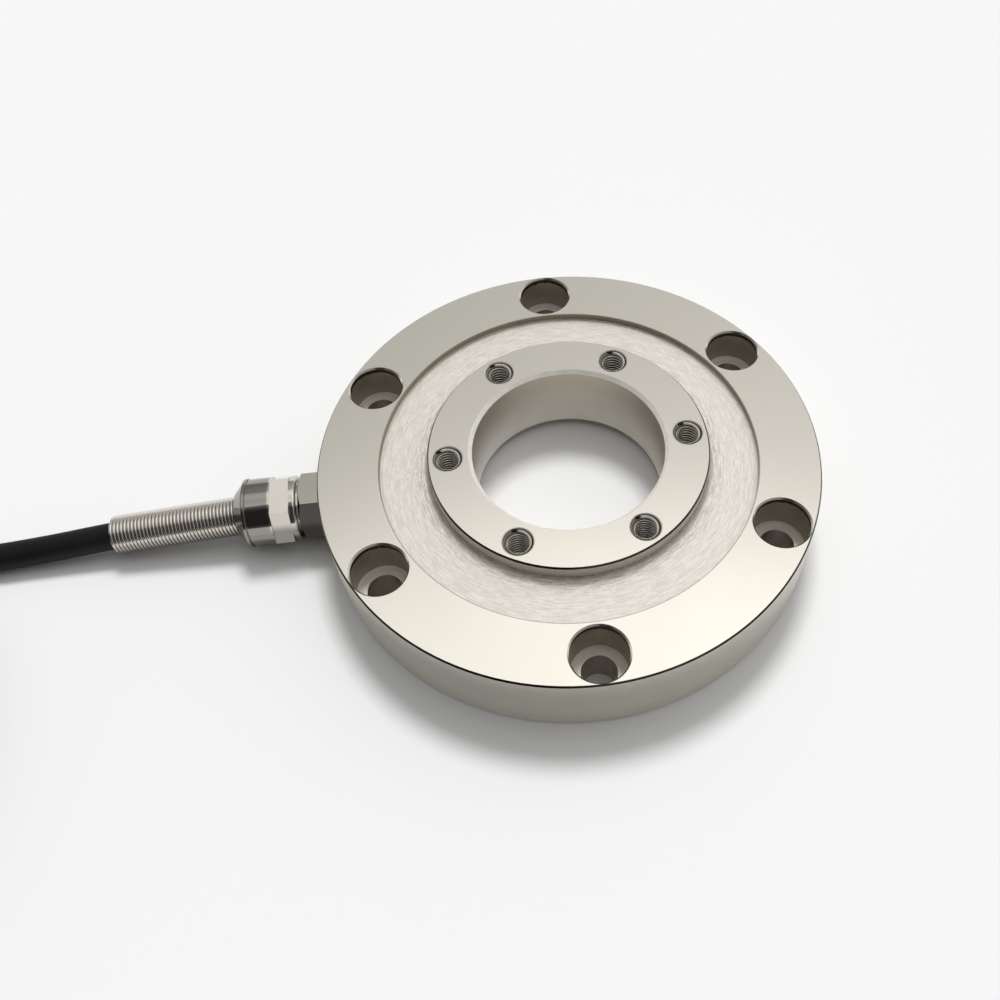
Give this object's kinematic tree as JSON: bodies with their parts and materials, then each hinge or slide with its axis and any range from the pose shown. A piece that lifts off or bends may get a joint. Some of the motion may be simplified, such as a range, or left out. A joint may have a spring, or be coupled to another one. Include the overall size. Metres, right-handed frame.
{
  "type": "pancake load cell",
  "caption": "Flat round compression and tension load cell with a raised threaded hub, a clear centre bore, a flanged rim and a side cable gland with a spring strain relief.",
  "frame": {"origin": "centre of the bore, on the plane of the rim's underside, which stands on the surface", "axes": "+Z is the loading axis, up through the hub; -X is the way the cable gland points; Y completes a right-handed frame"},
  "size_m": [0.3082, 0.161, 0.0351],
  "materials": {
    "body": "turned and nickel plated, satin",
    "cover": "sheet steel, satin",
    "seal": "soft black silicone",
    "gauge_foil": "amber polyimide over foil",
    "copper": "bare copper, satin",
    "board": "green solder mask",
    "foam": "grey bonding pad",
    "resistor": "black moulded case",
    "gland": "polished nickel plate",
    "spring_steel": "drawn stainless wire, bright",
    "jacket": "black cable jacket",
    "tie": "black nylon",
    "red": "red insulation",
    "green": "green insulation",
    "white": "white insulation",
    "black": "black insulation",
    "shield": "tinned copper braid"
  },
  "bodies": {
    "root": {"load_cell_body": "body", "gauge_cover_ring": "cover", "cover_gasket": "seal", "cover_seal": "seal", "strain_gauge_1": "gauge_foil", "strain_gauge_2": "gauge_foil", "strain_gauge_3": "gauge_foil", "strain_gauge_4": "gauge_foil", "strain_gauge_5": "gauge_foil", "strain_gauge_6": "gauge_foil", "strain_gauge_7": "gauge_foil", "strain_gauge_8": "gauge_foil", "gauge_terminal_1": "copper", "gauge_terminal_2": "copper", "gauge_terminal_3": "copper", "gauge_terminal_4": "copper", "jumper_wire_1": "copper", "jumper_wire_2": "copper", "jumper_wire_3": "copper", "board_pad": "foam", "bridge_board": "board", "trim_resistor_1": "resistor", "trim_resistor_2": "resistor", "trim_resistor_3": "resistor", "trim_resistor_4": "resistor", "core_red": "red", "core_green": "green", "core_white": "white", "core_black": "black", "gland_body": "gland", "gland_washer": "seal", "cable_grommet": "seal", "clamp_washer": "gland", "cap_nut": "gland", "strain_relief_spring": "spring_steel", "cable_entry": "jacket", "cable_lead": "jacket", "cable_coil": "jacket", "cable_tail": "jacket", "coil_tie_1": "tie", "coil_tie_2": "tie", "lead_red": "red", "lead_green": "green", "lead_shield": "shield", "lead_white": "white", "lead_black": "black"}
  },
  "joints": []
}
